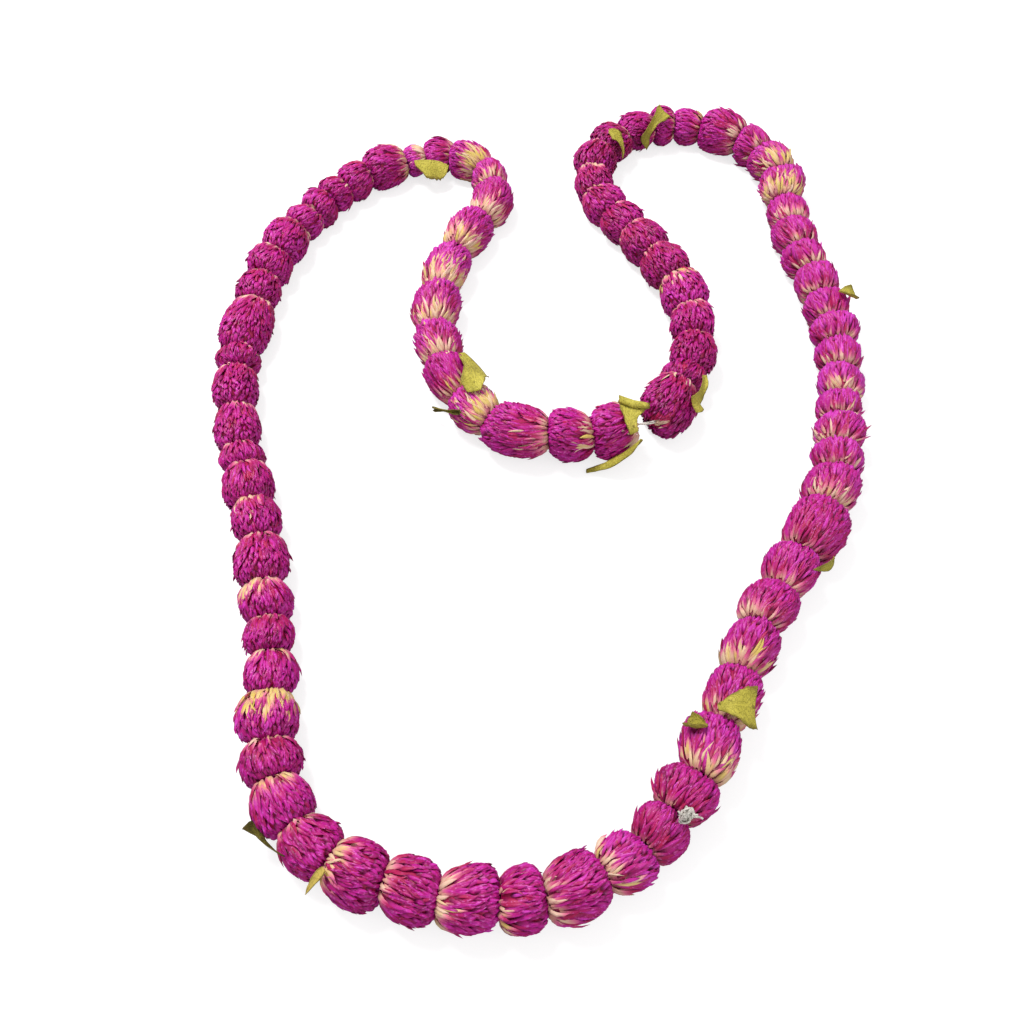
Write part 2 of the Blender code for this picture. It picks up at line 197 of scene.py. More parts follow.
# Each leaf: the head from whose base its places are counted, then its root, middle and tip as millimetres
# along the string, degrees round it from the inside of the loop upwards and millimetres out from it, its
# width, its outline, degrees by which its two edges roll up, where its end starts to curl over and by how
# many degrees, degrees by which it leans from the head, how wavy it is, and its tone, dark green to straw
LEAVES = (
    (1, ((3.6, 40, 9.8), (3, 84, 10.4), (-3.2, 121, 10.6)), 10.5, "tee", (8, 12), (0.65, 300), 0, 0.4, 0.62),
    (1, ((2, 26, 10.6), (9, -4, 11.3), (19.5, -34, 13.4)), 4.4, "strap", (70, 50), (1, 0), 60, 0.8, 0.45),
    (5, ((-8.5, 34, 9.3), (-3.5, 13, 9.7), (2, -10, 10.8)), 3.6, "neck", (150, 110), (1, 0), 0, 0.4, 0.1),
    (5, ((15, 137, 8.8), (4, 133, 10.1), (-8.5, 94, 10.1)), 13.5, "spike", (10, 25), (1, 0), -10, 0.8, 0.62),
    (13, ((19, 36, 7.6), (10, 23, 8.9), (-0.5, 9, 9.2)), 13, "half", (8, 12), (1, 0), 50, 0.3, 0.55),
    (36, ((21, 141, 9.1), (14, 163, 9.2), (8.5, 167, 9.5)), 6.5, "hook", (20, 30), (1, 0), 50, 0.3, 0.0),
    (38, ((2, 113, 9.0), (1, 138, 9.4), (0, 172, 11.0)), 2.2, "petal", (40, 30), (1, 0), 0, 0.2, 1.0),
    (47, ((-6, 68, 9.3), (-6.7, 50, 9.8), (-7.2, 30, 10.2)), 7, "broad", (130, 70), (1, 0), 0, 0.9, 0.35),
    (47, ((1, 71, 9.0), (3.8, 101, 9.9), (6.2, 129, 10.8)), 13.5, "flag", (8, 14), (1, 0), 0, 0.7, 0.5),
    (51, ((4, 164, 10.0), (0.5, 162, 10.1), (-6.5, 131, 9.8)), 3.4, "leaf", (50, 40), (1, 0), 0, 0.4, 0.5),
    (59, ((7, 104, 9.6), (6, 125, 10.3), (6, 150, 11.2)), 7.5, "leaf", (50, 80), (1, 0), 0, 0.4, 0.65),
    (70, ((-3.2, 74, 10.3), (4.8, 42, 10.1), (12.5, 8, 10.2)), 8, "bone", (35, 40), (1, 0), 0, 0.6, 0.5),
    (71, ((14, 83, 9.9), (13, 50, 9.8), (16, 5, 10.0)), 9.5, "wedge", (15, 30), (1, 0), 0, 0.4, 0.55),
    (82, ((-2, 47, 10.5), (5, 35, 11.2), (17, 44, 11.8)), 6, "club", (35, 40), (0.75, 290), 0, 0.5, 0.6),
)

# The outlines: shares of half the width on one side and the other, at even steps from root to tip
BLADES = {
    "leaf": ((0.20, 0.50, 0.78, 0.95, 1.00, 0.93, 0.76, 0.50, 0.10),) * 2,
    "broad": ((0.20, 0.40, 0.70, 0.92, 1.00, 1.00, 0.92, 0.78, 0.45),) * 2,
    "strap": ((0.55, 0.80, 0.95, 1.00, 1.00, 0.98, 0.95, 0.90, 0.60),) * 2,
    "neck": ((0.90, 1.00, 0.85, 0.55, 0.38, 0.45, 0.80, 1.00, 0.70),) * 2,
    "petal": ((0.60, 0.90, 1.00, 0.95, 0.85, 0.70, 0.50, 0.30, 0.05),) * 2,
    "club": ((0.40, 0.46, 0.50, 0.56, 0.64, 0.75, 0.92, 1.00, 1.00),) * 2,
    "tee": ((0.28, 0.30, 0.36, 0.48, 0.75, 0.98, 1.00, 1.00, 0.95),) * 2,
    "bone": (
        (1.15, 1.00, 0.70, 0.50, 0.46, 0.46, 0.55, 0.85, 0.95),
        (0.85, 0.68, 0.50, 0.45, 0.46, 0.50, 0.65, 1.00, 1.10),
    ),
    "wedge": (
        (0.25, 0.50, 0.62, 0.58, 0.45, 0.38, 0.34, 0.30, 0.18),
        (0.25, 0.85, 1.20, 1.05, 0.60, 0.42, 0.36, 0.30, 0.18),
    ),
    "half": (
        (0.10, 0.18, 0.22, 0.24, 0.24, 0.22, 0.20, 0.16, 0.10),
        (0.45, 0.82, 1.02, 1.10, 1.10, 1.05, 0.95, 0.78, 0.45),
    ),
    "hook": (
        (0.10, 0.12, 0.15, 0.15, 0.20, 0.25, 0.30, 0.30, 0.20),
        (0.12, 0.15, 0.18, 0.20, 0.25, 0.42, 0.80, 1.20, 0.40),
    ),
    "spike": (
        (0.15, 0.50, 0.82, 1.02, 1.10, 1.02, 0.55, 0.45, 0.22),
        (0.15, 0.35, 0.50, 0.52, 0.55, 0.60, 0.68, 0.72, 0.52),
    ),
    "flag": (
        (0.14, 0.24, 0.36, 0.48, 0.58, 0.68, 0.78, 0.86, 0.80),
        (0.14, 0.28, 0.42, 0.56, 0.70, 0.84, 0.96, 1.02, 0.96),
    ),
}
LEAF_ROWS = 32
LEAF_COLUMNS = 12
LEAF_FOLD = 0.10
LEAF_JAG = 0.035
JAG_EVENING = 1.7
LEAF_DROP = 0.2 * MM

# A leaf's waves: a long one's turns along the leaf in radians, at least and at most, and its slant from side
# to side, the same for a short one with its share of the long one's height, and how high they are in all
LONG_WAVES = (5, 8)
LONG_SLANT = 1.5
SHORT_WAVES = 15
SHORT_SLANT = 3
SHORT_SHARE = 0.5
WAVE_AT_MIDRIB = 0.3
WAVE_HEIGHT = 0.5

# The thread: its two strands, how far each is from their common line as a share of its radius, and where
# past the last head they stand out from that line, for how long, how far and at which turn
STRAND_RADIUS = 0.26 * MM
STRAND_APART = 1.15
STRAND_PITCH = 15 * MM
STRAND_STEPS = 40
THREAD_INSIDE = 4.0 * MM
THREAD_MOUTH = (1.0 * MM, 3.5 * MM, 3.0 * MM, math.radians(28))

# The crumpled knot on the joint after a head, in millimetres to the inside and up, and its ends' places, in
# millimetres to the inside and up and then along the string
KNOT_AFTER_HEAD = 44
KNOT_MM = (-3.6, 9.0)
KNOT_REACH_MM = (1.7, 1.9, 2.1)
KNOT_LOOPS = 9
KNOT_TURNS = 5
KNOT_SAMPLES = 28
KNOT_STRAND = 0.30 * MM
TAILS_MM = (((-5.4, 10.8), 1.4), ((-1.9, 11.2), -1.2), ((-6.7, 8.7), 1.8))
TAIL_STEPS = 10
TAIL_REACH = 1.15
TAIL_WAVES = (4, 5, 6)
TAIL_WANDER_MM = 0.35
STEM_STEPS = 8

# The share of its tile of the UV map that a sheet fills, and the margin before it
TILE_FILL = 0.84
TILE_MARGIN = 0.08

# How fine the patterns are: streaks across and along a blade, and noise over a metre
BRACT_STREAKS = (190, 40)
LEAF_STREAKS = (60, 5)
BLOTCHES = 260
SPARKLE = 1100
LEAF_CELLS = 620
LEAF_CLOUDS = 110
LEAF_SPOTS = 420
LEAF_RIBS = 40.0
RIB_SLANT = -0.35
THREAD_FUZZ = 4200
THREAD_CLOUDS = 500

# The stage: half the floor's side, its paleness and its glow to the camera, the light of the sky and how
# bright the camera sees it, and the two soft lights, each with its place, size and power
FLOOR_REACH = 2.5
FLOOR_GREY = 0.4
FLOOR_GLOW = 0.72
SKY_LIGHT = 0.63
SKY_SEEN = 1.0
LIGHTS = (("key_light", (-0.35, 0.35, 0.85), 0.30, 8.6), ("fill_light", (0.6, -0.6, 0.8), 0.9, 3.0))

# The camera of the photograph, and its lens on a sensor of SENSOR_MM
CAMERA_PLACE = (-0.01063, -0.21437, 0.2860)
CAMERA_TILT = math.radians(32)
LENS_MM = 34.1
SENSOR_MM = 36.0
NEAREST_SEEN = 0.01


def length_setting(name, description, default):
    """A property that holds a length."""
    return bpy.props.FloatProperty(name=name, description=description, default=default, unit="LENGTH")


def colour_setting(name, description, default):
    """A property that holds a colour."""
    return bpy.props.FloatVectorProperty(
        name=name, description=description, default=default, subtype="COLOR"
    )


class GarlandSizes(bpy.types.PropertyGroup):
    """Sizes of the bracts and leaves."""

    bract_length: length_setting("Bract length", "Length of a bract near a head's base", 7.4 * MM)
    tip_bract_length: length_setting("Tip bract length", "Length of a bract at a head's tip", 3.1 * MM)
    bract_width: length_setting("Bract width", "Width of a bract at its widest", 1.25 * MM)
    bract_spacing: length_setting("Bract spacing", "Distance between bracts over the head", 1.42 * MM)
    keel_height: length_setting("Keel height", "How far a bract's keel stands above its edges", 0.75 * MM)
    root_depth: length_setting("Root depth", "How deep a bract's root sits in the head", 1.1 * MM)
    bract_roll: length_setting("Bract roll", "How far one edge of a bract stands above the other", 0.22 * MM)
    tip_lift: length_setting("Tip lift", "How far a bract's tip stands off the head", 0.19 * MM)
    leaf_thickness: length_setting("Leaf thickness", "Thickness of a dried leaf", 0.3 * MM)


class GarlandColours(bpy.types.PropertyGroup):
    """Colours of the bracts, leaves and thread."""

    wine: colour_setting("Wine", "Darkest tone of the bracts", (0.21, 0.002, 0.065))
    magenta: colour_setting("Magenta", "Middle tone of the bracts", (0.49, 0.004, 0.245))
    orchid: colour_setting("Orchid", "Lightest tone of the bracts", (0.65, 0.045, 0.51))
    crimson: colour_setting("Crimson", "Reddened bracts and patches", (0.40, 0.006, 0.075))
    cream: colour_setting("Cream", "Pale base of the bracts", (0.78, 0.54, 0.40))
    straw: colour_setting("Straw", "Yellowest base of the bracts", (0.66, 0.49, 0.11))
    rose: colour_setting("Rose", "Where the pale base of a bract turns magenta", (0.75, 0.16, 0.30))
    # A painted highlight, laid as pale flecks along the bracts' keels
    painted_glint: colour_setting("Glint", "Light flecks along the bracts' keels", (0.82, 0.22, 0.68))
    # Painted shade at the roots of the bracts of a pale base
    pale_root_shade: colour_setting("Buff", "Deep between the bracts of a pale base", (0.68, 0.32, 0.26))
    olive: colour_setting("Olive", "Colour of the dried leaves", (0.43, 0.37, 0.048))
    dry_edge: colour_setting("Dry edge", "Browned edges of the dried leaves", (0.14, 0.09, 0.015))
    brown_spot: colour_setting("Brown spot", "Spots on the dried leaves", (0.09, 0.06, 0.01))
    cotton: colour_setting("Cotton", "Colour of the thread", (0.68, 0.64, 0.58))


class Loop:
    """The laid-down string: where each head begins and ends, and how a straight piece bends onto it."""

    def __init__(self):
        points = (closed_curve(ROUTE_MM, ROUTE_SAMPLES) - MIDDLE_MM) * MM
        steps = np.roll(points, -1, axis=0) - points
        self.along = np.concatenate([[0], np.cumsum(np.linalg.norm(steps, axis=1))])
        self.length = self.along[-1]
        turns = np.roll(points, -1, axis=0) - np.roll(points, 1, axis=0)
        tangents = turns / np.linalg.norm(turns, axis=1)[:, None]
        widths, lengths = np.array(HEADS_MM).T * MM
        self.radii = widths / 2
        lengths *= (self.length - OPEN_GAP) / lengths.sum()
        self.joints = OPEN_GAP / 2 + np.concatenate([[0], np.cumsum(lengths)])
        middles = (self.joints[:-1] + self.joints[1:]) / 2
        heights = np.interp(self.along[:-1], middles, self.radii - SINK, period=self.length)
        window = int(HEIGHT_SMOOTHING / self.length * ROUTE_SAMPLES)
        wrapped = np.concatenate([heights[-window:], heights, heights[:window]])
        heights = np.convolve(wrapped, np.ones(window) / window, "same")[window:-window]
        rows = np.column_stack([points, tangents, heights])
        self.rows = np.vstack([rows, rows[:1]]).T

    def bend(self, places):
        """Where points of the straight string lie on the loop, pressed flat where they meet the table."""
        inward, up, along = np.moveaxis(np.asarray(places, float), -1, 0)
        at = along % self.length
        x, y, ahead_x, ahead_y, height = (np.interp(at, self.along, row) for row in self.rows)
        norm = np.hypot(ahead_x, ahead_y)
        z = height + up
        z = np.where(z < PRESSED, PRESSED * np.exp(np.minimum(z / PRESSED - 1, 0)), z)
        return np.stack([x - inward * ahead_y / norm, y + inward * ahead_x / norm, z], axis=-1)


def closed_curve(points, samples):
    """The smooth closed curve through the points: a cubic spline, at even steps of its parameter."""
    count = len(points)
    weights = np.eye(count) * 4 + np.roll(np.eye(count), 1, axis=0) + np.roll(np.eye(count), -1, axis=0)
    knots = np.linalg.solve(weights / 6, np.array(points, float))
    place = np.linspace(0, count, samples, endpoint=False)
    index = place.astype(int)
    t = (place - index)[:, None]
    before, here, after, beyond = (knots[(index + shift) % count] for shift in (-1, 0, 1, 2))
    return (
        (1 - t) ** 3 * before
        + (3 * t**3 - 6 * t**2 + 4) * here
        + (-3 * t**3 + 3 * t**2 + 3 * t + 1) * after
        + t**3 * beyond
    ) / 6


class Skin:
    """A head's outline on the straight string, read by the distance along it from the base cup."""

    def __init__(self, loop, head):
        self.start, self.end = loop.joints[head], loop.joints[head + 1]
        self.radius = loop.radii[head] - BRACT_ROOM
        corners = np.array(HEAD_OUTLINE) * (self.end - self.start, self.radius) + (self.start, 0)
        reach = np.concatenate([[0], np.cumsum(np.linalg.norm(np.diff(corners, axis=0), axis=1))])
        even = np.linspace(0, reach[-1], SKIN_SAMPLES)
        rough = np.column_stack([np.interp(even, reach, corners[:, axis]) for axis in (0, 1)])
        margin = SKIN_SMOOTHING // 2
        padded = np.pad(rough, ((margin, margin), (0, 0)), mode="edge")
        box = np.ones(SKIN_SMOOTHING) / SKIN_SMOOTHING
        self.line = np.column_stack([np.convolve(padded[:, axis], box, "valid") for axis in (0, 1)])
        steps = np.linalg.norm(np.diff(self.line, axis=0), axis=1)
        self.reach = np.concatenate([[0], np.cumsum(steps)])
        ahead = np.gradient(self.line, axis=0)
        ahead /= np.linalg.norm(ahead, axis=1)[:, None]
        self.normals = np.column_stack([-ahead[:, 1], ahead[:, 0]])
        bands = steps * (self.line[1:, 1] + self.line[:-1, 1]) * math.pi
        self.area = np.concatenate([[0], np.cumsum(bands)])

    def place(self, reach, rise):
        """Distance along the string and out from it, at a reach along the skin and a rise above it."""
        along, out, lean_along, lean_out = (
            np.interp(reach, self.reach, column) for column in (*self.line.T, *self.normals.T)
        )
        return along + rise * lean_along, out + rise * lean_out


class HeadShape:
    """The swells and the tilt that make one head differ from the next."""

    def __init__(self, skin, draw):
        self.middle = (skin.start + skin.end) / 2
        self.lobes = np.arange(1, len(HEAD_SWELLS) + 1)
        self.swell = draw.normal(0, HEAD_SWELLS)
        self.starts = draw.uniform(0, 2 * math.pi, len(HEAD_SWELLS))
        self.tilt = draw.normal(0, HEAD_LEAN, 2)
        self.pale_side = draw.normal(math.pi / 2, PALE_SIDE_SPREAD)

    def solid(self, along, out, turn, across):
        """Points on the straight string, from their distances along and out, their turn and side step."""
        out = out * (1 + np.cos(turn[..., None] * self.lobes + self.starts) @ self.swell)
        lean = (along - self.middle)[..., None] * self.tilt
        x = out * np.cos(turn) - across * np.sin(turn) + lean[..., 0]
        y = out * np.sin(turn) + across * np.cos(turn) + lean[..., 1]
        return np.stack([x, y, along], axis=-1)


class Sheets:
    """Many little sheets gathered into one piece, each a grid with a tile of the UV map to itself."""

    def __init__(self):
        self.mesh = bmesh.new()
        self.mesh.loops.layers.uv.new("OFBake")
        self.places = []
        self.marks = {"blade": [], "stain": []}
        self.corners = []

    def add(self, places, blade, stain):
        """Adds a sheet for each of the places' grids of points, with the marks that their colours read."""
        count, rows, columns = places.shape[:3]
        self.add_grids(count, rows - 1, columns - 1)
        self.places.append(places.reshape(-1, 3))
        for name, values in (("blade", blade), ("stain", stain)):
            spread = [np.broadcast_to(value, places.shape[:3]) for value in values]
            self.marks[name].append(np.stack(spread, axis=-1).reshape(-1, 3))
        self.corners += [(rows - 1) * (columns - 1) * 4] * count

    def add_grids(self, count, rows, columns):
        """Adds grids that are all alike: the first is made, and then copied in ever larger groups."""
        lists = (self.mesh.verts, self.mesh.edges, self.mesh.faces)
        starts = [len(elements) for elements in lists]
        bmesh.ops.create_grid(self.mesh, x_segments=columns, y_segments=rows, size=1, calc_uvs=True)
        sizes = [len(elements) - start for elements, start in zip(lists, starts)]
        made = 1
        while made < count:
            more = min(made, count - made)
            group = []
            for elements, start, size in zip(lists, starts, sizes):
                elements.ensure_lookup_table()
                group += elements[start : start + more * size]
            bmesh.ops.duplicate(self.mesh, geom=group)
            made += more

    def finish(self, name, material):
        """The piece that the sheets make, with their corners in place and each on its own tile."""
        data = bpy.data.meshes.new(name)
        self.mesh.to_mesh(data)
        data.vertices.foreach_set("co", np.concatenate(self.places).ravel())
        for mark, values in self.marks.items():
            made = data.attributes.new(mark, "FLOAT_VECTOR", "POINT")
            made.data.foreach_set("vector", np.concatenate(values).ravel())
        uv = np.empty(len(data.loops) * 2)
        data.uv_layers["OFBake"].data.foreach_get("uv", uv)
        side = math.ceil(math.sqrt(len(self.corners)))
        tile = np.repeat(np.arange(len(self.corners)), self.corners)
        corner = np.column_stack([tile % side, tile // side])
        uv = (uv.reshape(-1, 2) * TILE_FILL + TILE_MARGIN + corner) / side
        data.uv_layers["OFBake"].data.foreach_set("uv", uv.ravel())
        self.mesh.clear()
        self.mesh.from_mesh(data)
        bmesh.ops.remove_doubles(self.mesh, verts=self.mesh.verts, dist=WELD)
        self.mesh.to_mesh(data)
        self.mesh.free()
        data.shade_smooth()
        return add_object(name, data, material)


def add_object(name, data, material):
    """The data as a named object of one material, in the scene."""
    data.materials.append(material)
    made = bpy.data.objects.new(name, data)
    bpy.context.scene.collection.objects.link(made)
    return made


def stands_for(piece, node):
    """The piece rides on the garland, in the place of a plainer node."""
    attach(piece, "root")
    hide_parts(node)


def smooth_step(value, low, high):
    """How far the value is between low and high, eased at both."""
    share = np.clip((value - low) / (high - low), 0, 1)
    return share * share * (3 - 2 * share)


def graded(pair, share):
    """The least value, plus a share of how much more it can be."""
    least, more = pair
    return least + more * share


def head_look(head):
    """A head's tone, how far its pale base reaches and how yellow it is, and how loose its bracts are."""
    return [int(digit) / 9 for digit in " ".join(HEAD_LOOKS).split()[head]]


def pale_limit(pale, turn, shape):
    """The share of the skin's length at which the pale base of a head gives way to magenta."""
    return PALE_FROM + PALE_FURTHER * pale * (1 + PALE_UNEVEN * np.cos(turn - shape.pale_side))


def bract_sizes(share, loose, sizes, draw):
    """Each bract's length, root depth, width, keel and tip lift, from where it grows along the skin."""
    count = len(share)
    shorter = (sizes.tip_bract_length - sizes.bract_length) * smooth_step(share, *SHRINKING)
    length = (sizes.bract_length + shorter) * draw.uniform(*LENGTH_RANGE, count)
    deeper = (1 - SHALLOWEST) * smooth_step(share, *DEEPENING)
    depth = sizes.root_depth * (SHALLOWEST + deeper)
    width = sizes.bract_width * draw.uniform(*WIDTH_RANGE, count)
    keel = sizes.keel_height * draw.uniform(*KEEL_RANGE, count)
    frayed = draw.random(count) < graded(FRAYED, loose)
    lift = sizes.tip_lift * draw.uniform(*LIFT_RANGE, count)
    return length, depth, width, keel, lift + frayed * draw.uniform(*FRAYED_LIFT_MM, count) * MM


def bract_skew(share, turn, loose, draw):
    """How far each bract's tip leans to its side, on its own and together with its neighbours."""
    phases = draw.uniform(0, 2 * math.pi, len(GATHERS))
    gather = np.zeros(len(turn))
    for (waves, twist), phase in zip(GATHERS, phases):
        gather += np.sin(waves * turn + phase + twist * share)
    return draw.normal(0, graded(SKEW_SPREAD, loose), len(turn)) + graded(GATHERED, loose) * gather


def bract_places(loop, skin, shape, root, turn, sizes, loose, draw):
    """The grids of points of one head's bracts, their reach along its skin, and where their middles lie."""
    count = len(root)
    share = root / skin.reach[-1]
    length, depth, width, keel, lift = bract_sizes(share, loose, sizes, draw)
    roll = draw.normal(0, sizes.bract_roll, count)
    skew = bract_skew(share, turn, loose, draw)
    bend = draw.normal(0, BEND_SPREAD, count)

    step = np.linspace(0, 1, len(BRACT_WIDTHS))
    side = np.array((-1.0, 0.0, 1.0))
    reach = root[:, None] + step * length[:, None]
    rise = -depth[:, None] * (1 - step) ** ROOT_CURVE + lift[:, None] * step**2
    drift = (skew[:, None] * step + bend[:, None] * step * (1 - step) * 2) * length[:, None]
    section = keel[:, None, None] * (0.5 - np.abs(side)) + roll[:, None, None] * side
    keels = np.array(BRACT_KEELS)[:, None] * section
    across = drift[..., None] + width[:, None, None] / 2 * np.array(BRACT_WIDTHS)[:, None] * side
    reach = np.broadcast_to(reach[..., None], across.shape)
    along, out = skin.place(reach, rise[..., None] + keels)
    turns = np.broadcast_to(turn[:, None, None], across.shape)
    places = loop.bend(shape.solid(along, out, turns, across))
    return places, reach, skin.place(root + MIDDLE_OF_BRACT * length, 0)


def add_spots(head, skin, turn, middles, paleness, redness):
    """Tints the single bracts and patches of one head that stand out."""
    along, out = middles
    for spot_head, spot_share, degrees, size, tint in SPOTS:
        if spot_head == head + 1:
            ahead = along - skin.start - spot_share * (skin.end - skin.start)
            round_it = ((turn - math.radians(degrees) + math.pi) % (2 * math.pi) - math.pi) * out
            apart = np.hypot(ahead, round_it)
            near = apart <= max(size * MM, apart.min())
            paleness[near] = 1 if tint == "cream" else 0
            redness[near] = 0 if tint == "cream" else 1


def add_bracts(sheets, loop, skin, shape, head, sizes, draw):
    """The bracts of one head: papery keeled blades that overlap from its base to its tip."""
    tone, pale, yellow, loose = head_look(head)
    ends = np.array((FIRST_BRACT, LAST_BRACT)) * skin.reach[-1]
    first, last = np.interp(ends, skin.reach, skin.area)
    count = int((last - first) / sizes.bract_spacing**2)
    order = np.arange(count)
    root = np.interp(first + (order + 0.5) / count * (last - first), skin.area, skin.reach)
    root = root + draw.normal(0, ROOT_SPREAD, count)
    turn = order * GOLDEN_ANGLE + draw.normal(0, TURN_SPREAD, count)
    places, reach, middles = bract_places(loop, skin, shape, root, turn, sizes, loose, draw)

    limit = pale_limit(pale, turn, shape) + draw.normal(0, graded(PALE_SPREAD, pale), count)
    at = reach / skin.reach[-1]
    paleness = np.clip((limit[:, None, None] - at) / PALE_SOFTNESS + 0.5, 0, 1)
    tones = np.clip(tone + draw.normal(0, TONE_SPREAD, count), 0, 1)[:, None, None]
    yellows = np.clip(yellow + draw.normal(0, TINT_SPREAD, count), 0, 1)[:, None, None]
    reds = draw.normal(0, TINT_SPREAD, count)[:, None, None]
    redness = np.clip((RED_UNTIL - at) * REDNESS + reds, 0, REDDEST)
    add_spots(head, skin, turn, middles, paleness, redness)
    step = np.linspace(0, 1, len(BRACT_WIDTHS))
    keel = np.array((0.0, 1.0, 0.0))
    sheets.add(places, (step[:, None], keel, tones), (paleness, yellows, redness))


def add_core(sheets, loop, skin, shape, pale):
    """The dark inside of a head, seen only deep between its bracts."""
    reach = np.linspace(0, skin.reach[-1], CORE_ROWS + 1)[:, None]
    turn = np.linspace(0, 2 * math.pi, CORE_COLUMNS + 1) % (2 * math.pi)
    reach, turn = np.broadcast_arrays(reach, turn)
    along, out = skin.place(reach, np.full(reach.shape, -CORE_DEPTH))
    places = loop.bend(shape.solid(along, np.maximum(out, CORE_HOLE), turn, np.zeros(reach.shape)))
    paleness = (pale_limit(pale, turn, shape) - reach / skin.reach[-1]) * CORE_FADE
    sheets.add(places[None], CORE_BLADE, (np.clip(paleness, 0, CORE_PALEST), CORE_YELLOW, 1))


def add_leaf(sheets, loop, leaf, draw):
    """A dried leaf that lies over the heads, folded along its midrib, with rolled and ragged edges."""
    head, spine, width, outline, rolls, (curl_start, curl), lean, wave, tone = leaf
    root, middle, tip = np.array(spine) * (MM, math.radians(1), MM) - (0, 0, LEAF_DROP)
    pull = 2 * middle - (root + tip) / 2
    step = np.linspace(0, 1, LEAF_ROWS + 1)[:, None]
    side = np.linspace(-1, 1, LEAF_COLUMNS + 1)
    stations = np.linspace(0, 1, len(BLADES[outline][0]))
    first, second = (np.interp(step, stations, shares) for shares in BLADES[outline])
    jags = draw.normal(0, LEAF_JAG, (LEAF_ROWS + 1, LEAF_COLUMNS + 1))
    jags = (jags + np.roll(jags, 1, axis=0) + np.roll(jags, 2, axis=0)) / JAG_EVENING
    half = width * MM / 2 * np.where(side < 0, first, second) * (1 + jags * np.abs(side) ** 3)

    far = np.linalg.norm(tip[:2] * (1, tip[2]) - root[:2] * (1, root[2]))
    bend_radius = (1 - curl_start) * far / math.radians(max(curl, 1))
    angle = np.maximum(step - curl_start, 0) * far / max(bend_radius, MM)
    step_on = np.minimum(step, curl_start) + bend_radius * np.sin(angle) / far
    line = (1 - step_on) ** 2 * root + 2 * step_on * (1 - step_on) * pull + step_on**2 * tip
    slope = (1 - step_on) * (pull - root) + step_on * (tip - pull)
    course = np.column_stack([slope[:, 0], slope[:, 1] * line[:, 2]])
    course /= np.linalg.norm(course, axis=1)[:, None]

    roll = np.radians(np.where(side < 0, *rolls))
    across = half * np.sign(side) * np.sin(np.abs(side) * roll) / roll
    rise = half * ((1 - np.cos(side * roll)) / roll + LEAF_FOLD * np.abs(side))
    lean = math.radians(lean)
    reach = across * math.cos(lean) - rise * math.sin(lean)
    rise = across * math.sin(lean) + rise * math.cos(lean)
    long_phase, short_phase = draw.uniform(0, 6, 2)
    ripple = np.sin(step * draw.uniform(*LONG_WAVES) + side * LONG_SLANT + long_phase)
    ripple = ripple + SHORT_SHARE * np.sin(step * SHORT_WAVES - side * SHORT_SLANT + short_phase)
    height = WAVE_AT_MIDRIB + (1 - WAVE_AT_MIDRIB) * np.abs(side)
    rise = rise + wave * MM * ripple * height * WAVE_HEIGHT + bend_radius * (1 - np.cos(angle))
    ahead = line[:, :1] - reach * course[:, 1:]
    turn = line[:, 1:2] + reach * course[:, :1] / line[:, 2:]
    out = line[:, 2:] + rise
    places = np.stack([out * np.cos(turn), out * np.sin(turn), loop.joints[head - 1] + ahead], axis=-1)
    sheets.add(loop.bend(places)[None], (step, 1 - np.abs(side), draw.random()), (0, 0, tone))


def twine(name, lines, radius, closed, material):
    """Cords of one thickness along the lines, as a curve made into a mesh."""
    curve = bpy.data.curves.new(name, "CURVE")
    curve.dimensions = "3D"
    curve.bevel_depth = radius
    curve.bevel_resolution = 2
    curve.use_fill_caps = True
    for line, cyclic in zip(lines, closed):
        spline = curve.splines.new("POLY")
        spline.points.add(len(line) - 1)
        spline.points.foreach_set("co", np.column_stack([line, np.ones(len(line))]).ravel())
        spline.use_cyclic_u = cyclic
    guide = bpy.data.objects.new(name + "_line", curve)
    bpy.context.scene.collection.objects.link(guide)
    graph = bpy.context.evaluated_depsgraph_get()
    data = bpy.data.meshes.new_from_object(guide.evaluated_get(graph))
    bpy.data.objects.remove(guide)
    data.name = name
    mesh = bmesh.new()
    mesh.from_mesh(data)
    bmesh.ops.remove_doubles(mesh, verts=mesh.verts, dist=WELD)
    bmesh.ops.recalc_face_normals(mesh, faces=mesh.faces)
    mesh.to_mesh(data)
    mesh.free()
    data.shade_smooth()
    data.materials.clear()
    return add_object(name, data, material)


def thread_lines(loop):
    """The thread inside the heads, and its two strands, twisted round each other across the open gap."""
    start, end = loop.joints[0] + THREAD_INSIDE, loop.joints[-1] - THREAD_INSIDE
    inside = np.concatenate([[start], loop.joints[1:-1], [end]])
    lines = [loop.bend(np.column_stack([np.zeros((len(inside), 2)), inside]))]
    along = np.linspace(end, loop.length + start, STRAND_STEPS)
    ahead, spread, aside, turn = THREAD_MOUTH
    shift = aside * np.exp(-(((along - loop.joints[-1] - ahead) / spread) ** 2))
    offset = STRAND_RADIUS * STRAND_APART
    for half_turn in (0, math.pi):
        angle = half_turn + (along - along[0]) / STRAND_PITCH * 2 * math.pi
        x = offset * np.cos(angle) + shift * math.cos(turn)
        y = offset * np.sin(angle) + shift * math.sin(turn)
        lines.append(loop.bend(np.column_stack([x, y, along])))
    return lines


